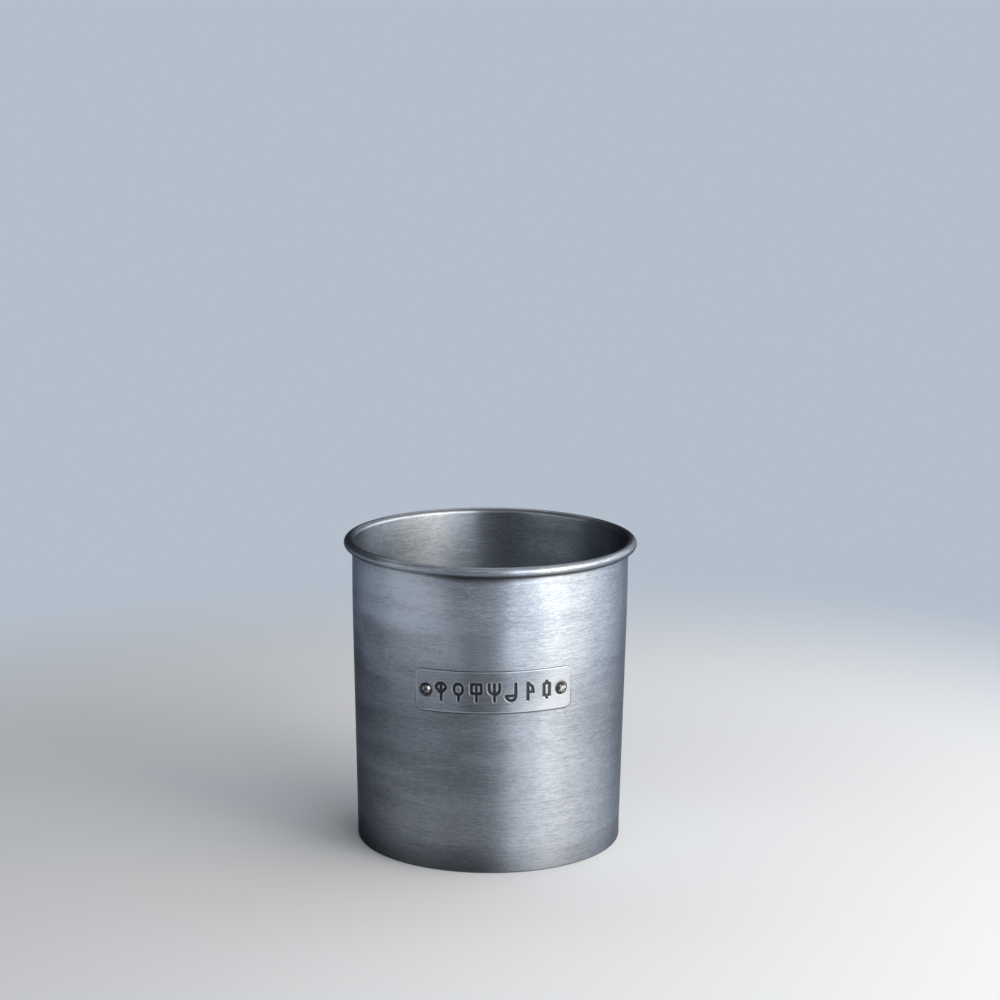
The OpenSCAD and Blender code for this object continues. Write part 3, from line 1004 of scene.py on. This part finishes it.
PLATE_STEEL = steel("plate_steel", dark=(0.165, 0.185, 0.215), light=(0.31, 0.34, 0.385),
                    roughness=0.4, anisotropy=0.7, dirt_and_shade=mark(DIRT_AND_SHADE_MARK), wear_and_sheen=mark(WEAR_AND_SHEEN_MARK))
PLATE_SIZES = {"Half Width": PLATE_R * PLATE_TURN, "Half Height": PLATE_H / 2,
               "Corner": PLATE_CORNER, "Thickness": PLATE_T, "Edge": 0.25, "Groove": GROOVE_W,
               "Depth": 0.3, "Lip": 0.06, "Rivet Place": PLATE_R * RIVET_TURN,
               "Hole Radius": HOLE_R, "Reach": PLATE_R, "Height": PLATE_Z}
PLATE_GRID = {"Columns": 340, "Rows": 90}
in_metres = {name: size * MM for name, size in PLATE_SIZES.items()}
plate = drawn_piece("stamped_plate", *stamp_strokes())
run_tree(plate, plate_tree(), {**in_metres, **PLATE_GRID, "Metal": PLATE_STEEL})
fit_piece(plate, ["nameplate"], crease=60)

# %% [markdown]
# ## The rivets
# A round-head rivet goes through plate and wall, and its tail is clinched flat inside. It is spun
# like the wall, then the tree puts it at both places and hammers the heads a little out of round,
# each in its own way, because the noise reads where the head is.

# %% Make the rivets
HEAD_R = 2.8
HEAD_H = 1.9
SHANK_R = 1.5
TAIL_R = 2.3
TAIL_H = 1.1
TAIL_GAP = 0.09
TAIL_EDGE = 0.35
HEAD_STEPS = 18
TAIL_EDGE_STEPS = 5
TAIL_FLAT_STEPS = 3
RIVET_SEGMENTS = 64

HAMMERED = 0.9
HAMMERED_HEAD = Fade(1.2, 1.8)
BLOWS_PER_M = 750.0
TARNISH_PER_M = 700.0
TARNISH_ENDS = (0.46, 0.62)
TARNISH = 0.92
# Low on the head is dirt and painted shade, and the left rivet is painted darker as shade.
LOW_DIRT_AND_SHADE = Fade(0.4, 1.6, 0.95, 0.0)
LEFT_PAINTED_SHADE = Fade(10, -10, high=0.6)


def rivet_section():
    seat = PLATE_FACE_R - PLATE_R + FIT
    ball_r = (HEAD_R ** 2 + HEAD_H ** 2) / (2 * HEAD_H)
    ball = (0.0, seat + HEAD_H - ball_r)
    rim = math.degrees(math.acos(HEAD_R / ball_r))
    tail_top = -SHEET - TAIL_GAP
    tail_low = tail_top - TAIL_H
    middle, turn_r = (0.0, tail_low), TAIL_R - TAIL_EDGE
    section = [middle] + straight(middle, (turn_r, tail_low), TAIL_FLAT_STEPS)
    section += arc((turn_r, tail_low + TAIL_EDGE), TAIL_EDGE, -90, 0, TAIL_EDGE_STEPS)
    section += [(TAIL_R, tail_top), (SHANK_R, tail_top), (SHANK_R, seat)]
    return section + arc(ball, ball_r, rim, 90, HEAD_STEPS)


def rivet_tree():
    n, given = geometry_tree("rivets", {"Hammered": "Float", **RIVET_INPUTS})
    pair = n.add("GeometryNodeRealizeInstances", {0: at_rivets(n, given["Geometry"], given)})[0]
    position = n.add("GeometryNodeInputPosition")[0]
    x, y, _ = n.split(position)
    head = n.fade(n.minus(n.size(x, y), given["Reach"]), HAMMERED_HEAD)
    blow = n.times(n.minus(n.noise(position, BLOWS_PER_M, 1.0), 0.5), given["Hammered"], head)
    normal = n.add("GeometryNodeInputNormal")[0]
    offset = n.add("ShaderNodeVectorMath", {0: normal, "Scale": blow}, operation="SCALE")[0]
    beaten = n.add("GeometryNodeSetPosition", {"Geometry": pair, "Offset": offset})[0]
    return finish_tree(n, beaten, given["Metal"])


def rivet_tarnish_and_painted_shade(n, spot):
    """Tarnish lies between the hammer's blows. Low on the head is dirt and painted shade, and the
    left one is painted darker, as shade.
    """
    out = n.minus(spot.radius, (PLATE_FACE_R + FIT) * MM)
    blows = n.ramp(n.noise(spot.place, TARNISH_PER_M, 2.0), *TARNISH_ENDS, TARNISH, 0.0)
    return n.larger(n.fade(out, LOW_DIRT_AND_SHADE), blows, n.fade(spot.x, LEFT_PAINTED_SHADE))


RIVET_STEEL = steel("rivet_steel", dark=(0.38, 0.38, 0.37), light=(0.62, 0.62, 0.61),
                    roughness=0.22, anisotropy=0.0, hair=0.0, dirt_and_shade=rivet_tarnish_and_painted_shade)
rivets = spin("rivets", rivet_section(), RIVET_SEGMENTS, RIVET_STEEL)
run_tree(rivets, rivet_tree(), {"Hammered": HAMMERED * MM, "Metal": RIVET_STEEL, **RIVET_PLACE})
fit_piece(rivets, ["rivet_left", "rivet_right"])

# %% [markdown]
# ## Floor and light
# Product pictures are often taken on a sweep: a pale floor that runs on into a pale backdrop with no
# corner. Here one wide plane is both. Near the holder it is painted and takes the holder's shadow.
# Further off it turns into the backdrop, which is as pale as its own colour wherever the camera or
# the metal looks at it, and sends no light of its own onto anything else.

# %% Make the floor
FLOOR_REACH = 40.0
floor_mesh = bpy.data.meshes.new("floor")
floor_corners = [(-1, -1, 0), (1, -1, 0), (1, 1, 0), (-1, 1, 0)]
floor_mesh.from_pydata([Vector(c) * FLOOR_REACH for c in floor_corners], [], [(0, 1, 2, 3)])
floor = bpy.data.objects.new("floor", floor_mesh)
bpy.context.scene.collection.objects.link(floor)
FLOOR_COLOUR = (0.58, 0.59, 0.61, 1)
BACKDROP_COLOUR = (0.46, 0.52, 0.60, 1)
FLOOR_ENDS = 0.28
BACKDROP_STARTS = 0.6


def sweep_material():
    material = bpy.data.materials.new("pale_sweep")
    material.use_nodes = True
    n = Nodes(material.node_tree)
    n.tree.nodes.clear()
    paint = n.add("ShaderNodeBsdfDiffuse", {"Color": FLOOR_COLOUR})[0]
    glow = n.add("ShaderNodeEmission", {"Color": BACKDROP_COLOUR})[0]
    x, y, _ = n.split(n.add("ShaderNodeTexCoord")["Object"])
    far = n.ramp(n.size(x, y), FLOOR_ENDS, BACKDROP_STARTS)
    ray = n.add("ShaderNodeLightPath")
    looked_at = n.larger(ray["Is Camera Ray"], ray["Is Glossy Ray"], ray["Is Transmission Ray"])
    sweep = n.add("ShaderNodeMixShader", {0: n.times(far, looked_at), 1: paint, 2: glow})[0]
    n.add("ShaderNodeOutputMaterial", {0: sweep})
    return material


floor.data.materials.append(sweep_material())
print("floor reaches", FLOOR_REACH, "m each way")

# %% [markdown]
# A row of soft panels stands round the holder, low, like a wide window. The brightest are to the
# right of the camera and make the broad bright band on the wall, and the light of those two is warm.
# A weak one on the left lifts the other side. Two long oval ones above draw the line along the bead,
# because an oval's ends fade out in the metal. One large panel could stand on the right instead, but
# its edges would show in the metal as lines.


# %% Hang the lamps
WARM = (1.0, 0.94, 0.85)
PLAIN = (0.94, 0.97, 1.0)
PANEL_DISTANCE = 1.2


def panel(name, round_angle, rise, width, height, brightness, colour, shape="RECTANGLE"):
    """A soft panel that faces the holder. A round_angle of 0 is the front and 90 the right side."""
    data = bpy.data.lights.new(name, "AREA")
    data.shape = shape
    data.size = width
    data.size_y = height
    share = math.pi / 4 if shape == "ELLIPSE" else 1.0
    data.energy = brightness * math.pi * width * height * share
    data.color = colour
    lamp = bpy.data.objects.new(name, data)
    turn, up = math.radians(round_angle), math.radians(rise)
    aim = Vector((0, 0, AIM_HEIGHT))
    away = Vector((math.sin(turn) * math.cos(up), -math.cos(turn) * math.cos(up), math.sin(up)))
    lamp.location = aim + away * PANEL_DISTANCE
    lamp.rotation_euler = away.to_track_quat("Z", "Y").to_euler()
    lamp.visible_camera = False
    bpy.context.scene.collection.objects.link(lamp)


PANEL_W = 0.5
PANEL_H = 0.8
PANEL_RISE = 18
BRIGHTNESS = {0: 0.2, 25: 4.6, 50: 9.1, 75: 6.3, 100: 4.1, 125: 3.0, 150: 1.7}
for turn, brightness in BRIGHTNESS.items():
    colour = WARM if turn in (50, 75) else PLAIN
    panel("window_%d" % turn, turn, PANEL_RISE, PANEL_W, PANEL_H, brightness, colour)
panel("fill_left", round_angle=-64, rise=PANEL_RISE, width=1.2, height=PANEL_H, brightness=0.7,
      colour=PLAIN)
panel("strip_front", round_angle=0, rise=52, width=2.6, height=0.35, brightness=1.6,
      colour=PLAIN, shape="ELLIPSE")
panel("strip_back", round_angle=180, rise=62, width=1.8, height=0.5, brightness=1.6,
      colour=PLAIN, shape="ELLIPSE")

ROOM_COLOUR = (0.62, 0.68, 0.78, 1)
ROOM_STRENGTH = 0.08
room = bpy.data.worlds.new("room")
room.use_nodes = True
room_light = room.node_tree.nodes["Background"]
room_light.inputs["Color"].default_value = ROOM_COLOUR
room_light.inputs["Strength"].default_value = ROOM_STRENGTH
bpy.context.scene.world = room
bpy.context.scene.view_settings.view_transform = "Standard"
